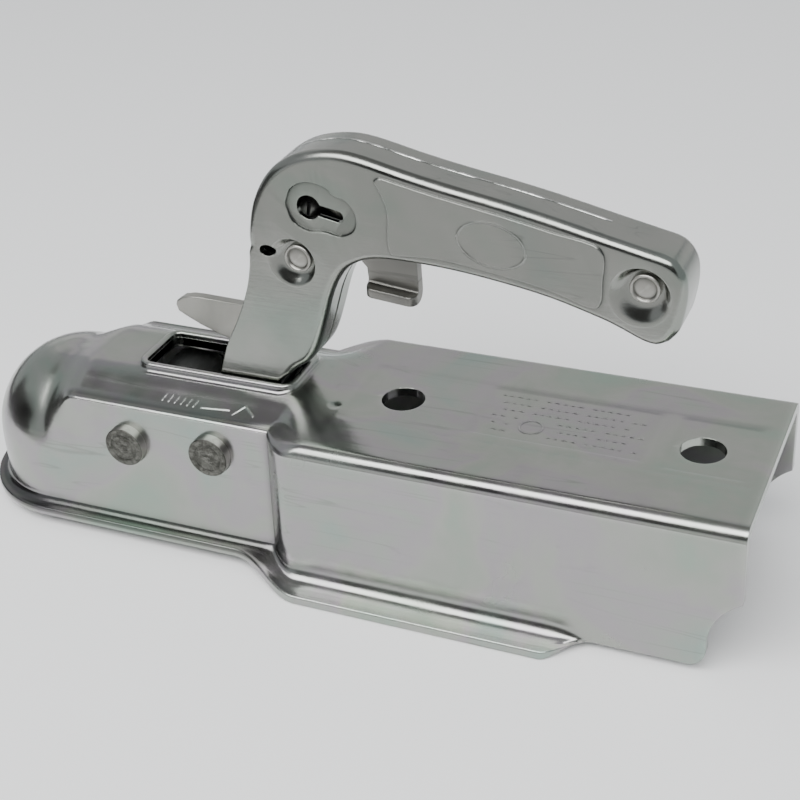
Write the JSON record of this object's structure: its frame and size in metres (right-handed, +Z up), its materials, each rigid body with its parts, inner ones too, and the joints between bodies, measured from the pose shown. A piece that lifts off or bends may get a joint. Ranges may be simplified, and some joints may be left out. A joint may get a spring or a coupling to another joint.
{
  "type": "trailer coupling head",
  "caption": "Pressed steel ball coupling head with a channel drawbar seat, lift lever, trigger latch and a swinging ball jaw.",
  "frame": {"origin": "centre of the tow ball when it is seated in the socket", "axes": "+X rearward along the drawbar, +Z up out of the deck, +Y to the far side of the pictured view"},
  "size_m": [0.2581, 0.0874, 0.1301],
  "materials": {
    "zinc_body": "bright zinc plating, satin",
    "zinc_lever": "bright zinc plating, satin",
    "zinc_latch": "zinc plating, satin",
    "zinc_rivet": "zinc plating",
    "plain_steel": "turned steel",
    "jaw_steel": "zinc plated casting",
    "spring_steel": "drawn wire"
  },
  "bodies": {
    "body": {"body_shell": "zinc_body", "front_rivet": "zinc_rivet", "rear_rivet": "zinc_rivet", "front_sleeve": "plain_steel", "rear_sleeve": "plain_steel", "front_spacer_near": "plain_steel", "front_spacer_far": "plain_steel", "rear_spacer_near": "plain_steel", "rear_spacer_far": "plain_steel"},
    "jaw": {"ball_jaw": "jaw_steel"},
    "lever": {"lever": "zinc_lever", "latch_pin": "zinc_rivet", "latch_spacer_near": "plain_steel", "latch_spacer_far": "plain_steel", "latch_spring": "spring_steel", "grip_pin": "zinc_rivet", "grip_sleeve": "plain_steel", "jaw_spring": "spring_steel"},
    "latch": {"latch_plate": "zinc_latch"}
  },
  "joints": [
    {"name": "lever_turn", "type": "hinge", "parent": "body", "child": "lever", "pos_m": [0.063, 0, 0.0145], "axis": [0, -1, 0], "range_deg": [0, 35]},
    {"name": "jaw_turn", "type": "hinge", "parent": "body", "child": "jaw", "pos_m": [0.0335, 0, 0.0125], "axis": [0, -1, 0], "range_deg": [0, 15]},
    {"name": "latch_turn", "type": "hinge", "parent": "lever", "child": "latch", "pos_m": [0.0894, 0, 0.0746], "axis": [0, -1, 0], "range_deg": [0, 15]}
  ],
  "couplings": [
    {"joint": "jaw_turn", "follows": "lever_turn", "ratio": 0.42857},
    {"joint": "latch_turn", "follows": "lever_turn", "ratio": 0.42857}
  ]
}
